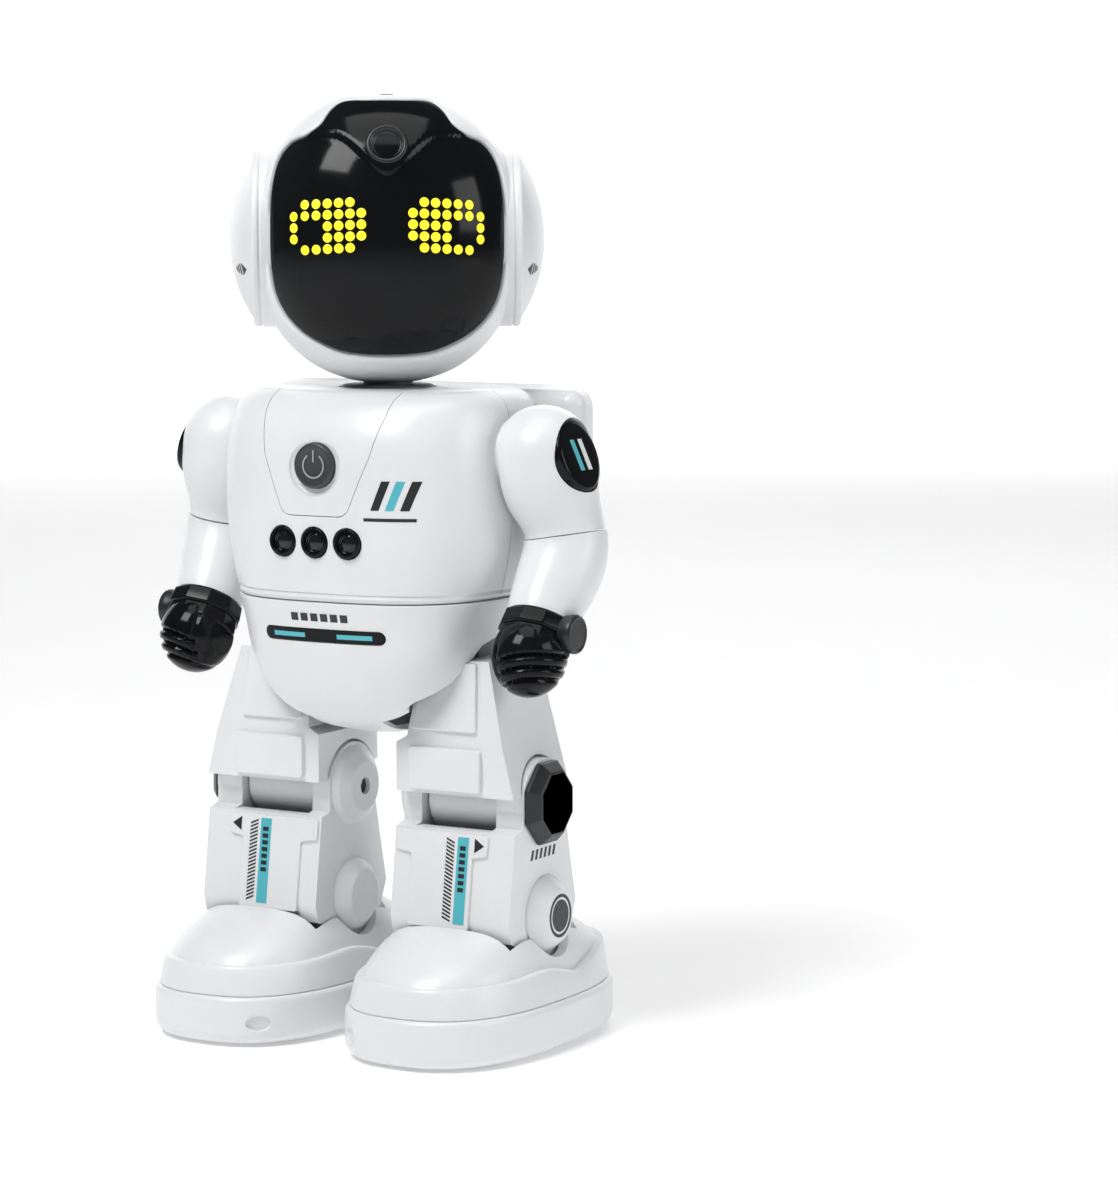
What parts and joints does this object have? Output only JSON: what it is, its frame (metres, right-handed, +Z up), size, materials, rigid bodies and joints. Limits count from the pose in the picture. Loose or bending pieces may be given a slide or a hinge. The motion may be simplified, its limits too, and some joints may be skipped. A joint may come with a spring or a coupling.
{
  "type": "walking humanoid toy robot",
  "caption": "Toy humanoid robot with a domed head and dark face window, jointed arms with black gloves, and stepping legs on wheeled boots.",
  "frame": {"origin": "on the floor under the middle of the overall box, midway between the boots", "axes": "+Z up, -Y the way the chest faces, +X towards the robot's left hand"},
  "size_m": [0.1374, 0.095, 0.2647],
  "materials": {
    "white_shell": "glossy white ABS with a very fine moulded texture",
    "black_gloss": "polished black ABS",
    "lens": "polished dark acrylic",
    "circuit_board": "green solder mask",
    "yellow_led": "lit yellow dots",
    "grey_plastic": "satin dark grey ABS",
    "black_plastic": "satin black plastic",
    "battery_wrap": "shrink-wrapped cell pack",
    "steel": "plain steel",
    "rubber": "matt rubber"
  },
  "bodies": {
    "torso": {"chest_front_shell": "white_shell", "chest_rear_shell": "white_shell", "belly_shell": "white_shell", "chest_panel": "white_shell", "sensor_bezels": "black_gloss", "sensor_lenses": "lens", "belly_light_window": "black_gloss", "neck_collar": "grey_plastic", "main_board": "circuit_board", "speaker": "black_plastic", "battery_pack": "battery_wrap", "battery_door": "white_shell", "charging_socket": "black_plastic", "shell_screws": "steel", "shoulder_bushes": "grey_plastic", "hip_frame": "grey_plastic", "left_thigh": "white_shell", "right_thigh": "white_shell", "knee_knuckles": "white_shell", "knee_pins": "steel"},
    "head": {"head_front_shell": "white_shell", "head_rear_shell": "white_shell", "visor": "black_gloss", "lens_ring": "black_gloss", "projector_lens": "lens", "led_board": "circuit_board", "eye_leds": "yellow_led", "ear_rims": "white_shell", "ear_domes": "white_shell", "neck_shaft": "grey_plastic"},
    "power_button": {"power_button": "grey_plastic"},
    "power_switch": {"power_switch": "black_plastic"},
    "left_upper_arm": {"left_upper_arm": "white_shell", "left_shoulder_cap": "black_gloss"},
    "left_forearm": {"left_forearm": "white_shell"},
    "left_hand": {"left_hand": "black_gloss", "left_wrist_knob": "black_gloss"},
    "left_shin": {"left_shin": "white_shell", "left_knee_cap": "black_gloss", "left_leg_covers": "white_shell", "left_ankle_pin": "steel"},
    "left_foot": {"left_foot_upper": "white_shell", "left_sole": "white_shell", "left_sole_pads": "rubber", "left_foot_motor": "steel"},
    "left_wheels": {"left_drive_wheels": "rubber"},
    "right_upper_arm": {"right_upper_arm": "white_shell", "right_shoulder_cap": "black_gloss"},
    "right_forearm": {"right_forearm": "white_shell"},
    "right_hand": {"right_hand": "black_gloss", "right_wrist_knob": "black_gloss"},
    "right_shin": {"right_shin": "white_shell", "right_knee_cap": "black_gloss", "right_leg_covers": "white_shell", "right_ankle_pin": "steel"},
    "right_foot": {"right_foot_upper": "white_shell", "right_sole": "white_shell", "right_sole_pads": "rubber", "right_foot_motor": "steel"},
    "right_wheels": {"right_drive_wheels": "rubber"}
  },
  "joints": [
    {"name": "head_turn", "type": "hinge", "parent": "torso", "child": "head", "pos_m": [0, 0.003, 0.18], "axis": [0, 0, 1], "range_deg": [-77, 13]},
    {"name": "power_press", "type": "slide", "parent": "torso", "child": "power_button", "axis": [0, 1, 0], "range_m": [0, 0.0012], "stiffness_N_per_m": 400, "springref_m": -0.0005},
    {"name": "power_slide", "type": "slide", "parent": "torso", "child": "power_switch", "axis": [1, 0, 0], "range_m": [0, 0.003]},
    {"name": "left_arm_swing", "type": "hinge", "parent": "torso", "child": "left_upper_arm", "pos_m": [0.0517, 0.0005, 0.1644], "axis": [-1, 0, 0], "range_deg": [-5, 100]},
    {"name": "left_elbow_twist", "type": "hinge", "parent": "left_upper_arm", "child": "left_forearm", "pos_m": [0.056, 0.005, 0.1427], "axis": [-0.1564, 0, 0.9877], "range_deg": [0, 60]},
    {"name": "left_wrist_twist", "type": "hinge", "parent": "left_forearm", "child": "left_hand", "pos_m": [0.0549, -0.007, 0.1199], "axis": [0, -0.5446, -0.8387], "range_deg": [-60, 60]},
    {"name": "right_arm_swing", "type": "hinge", "parent": "torso", "child": "right_upper_arm", "pos_m": [-0.0517, 0.0005, 0.1644], "axis": [-1, 0, 0], "range_deg": [-5, 100]},
    {"name": "right_elbow_twist", "type": "hinge", "parent": "right_upper_arm", "child": "right_forearm", "pos_m": [-0.056, 0.005, 0.1427], "axis": [-0.1564, 0, -0.9877], "range_deg": [0, 60]},
    {"name": "right_wrist_twist", "type": "hinge", "parent": "right_forearm", "child": "right_hand", "pos_m": [-0.0549, -0.007, 0.1199], "axis": [0, -0.5446, -0.8387], "range_deg": [-60, 60]},
    {"name": "left_knee", "type": "hinge", "parent": "torso", "child": "left_shin", "pos_m": [0.0318, 0.003, 0.068], "axis": [1, 0, 0], "range_deg": [-15, 15]},
    {"name": "left_ankle", "type": "hinge", "parent": "left_shin", "child": "left_foot", "pos_m": [0.0318, 0.003, 0.0365], "axis": [1, 0, 0], "range_deg": [-15, 15]},
    {"name": "left_wheel_roll", "type": "hinge", "parent": "left_foot", "child": "left_wheels", "pos_m": [0.0318, 0.016, 0.007], "axis": [1, 0, 0], "continuous": true},
    {"name": "right_knee", "type": "hinge", "parent": "torso", "child": "right_shin", "pos_m": [-0.0318, 0.003, 0.068], "axis": [1, 0, 0], "range_deg": [-15, 15]},
    {"name": "right_ankle", "type": "hinge", "parent": "right_shin", "child": "right_foot", "pos_m": [-0.0318, 0.003, 0.0365], "axis": [1, 0, 0], "range_deg": [-15, 15]},
    {"name": "right_wheel_roll", "type": "hinge", "parent": "right_foot", "child": "right_wheels", "pos_m": [-0.0318, 0.016, 0.007], "axis": [1, 0, 0], "continuous": true}
  ],
  "couplings": [
    {"joint": "right_knee", "follows": "left_knee", "ratio": -1},
    {"joint": "left_ankle", "follows": "left_knee", "ratio": -1},
    {"joint": "right_ankle", "follows": "left_knee", "ratio": 1}
  ]
}
